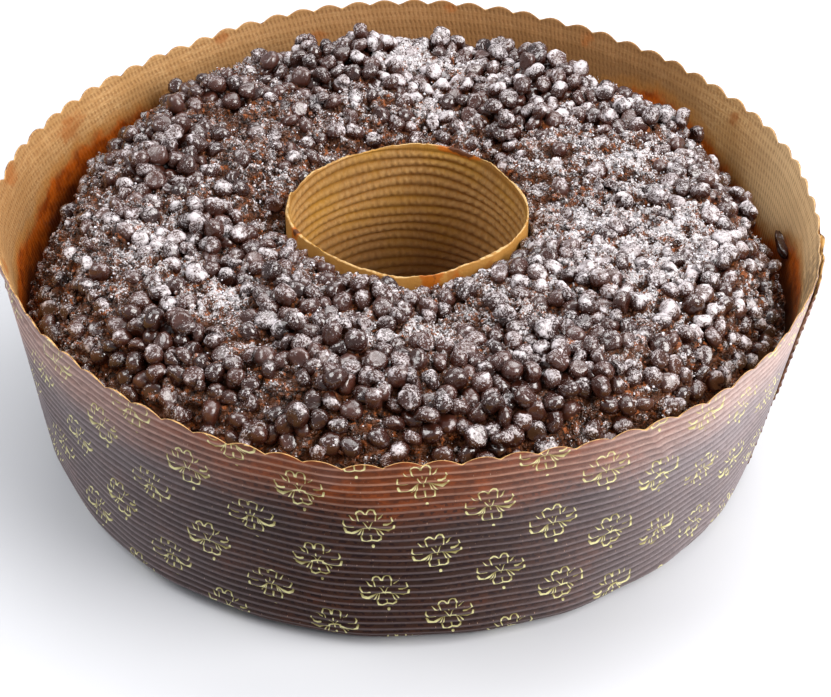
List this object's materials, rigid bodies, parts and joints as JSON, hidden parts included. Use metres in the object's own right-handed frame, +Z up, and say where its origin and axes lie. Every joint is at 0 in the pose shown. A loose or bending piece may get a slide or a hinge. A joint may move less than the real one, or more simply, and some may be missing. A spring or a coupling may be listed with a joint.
{
  "type": "ring cake in paper case",
  "caption": "Chocolate ring cake covered in chocolate drops and icing sugar, in its flared fluted paper baking case with a scalloped rim and an open paper tube.",
  "frame": {"origin": "middle of the case's foot, on the surface it stands on", "axes": "+Z up through the middle of the ring, -Y towards the side the picture shows in front, +X to its right"},
  "size_m": [0.2219, 0.2219, 0.0726],
  "materials": {
    "printed_paper": "fluted paper printed dark brown with pale gold ornaments, greasy and redder in its upper third",
    "kraft_paper": "ribbed golden-tan kraft paper with baking stains",
    "base_board": "plain matt kraft board",
    "cake_crumb": "dark reddish-brown rough open crumb",
    "chocolate_drops": "dark chocolate with a soft satin gloss",
    "icing_sugar": "fine matt white powder"
  },
  "bodies": {
    "root": {"paper_wall": "printed_paper", "paper_tube": "kraft_paper", "paper_base": "base_board", "cake": "cake_crumb"}
  },
  "joints": []
}
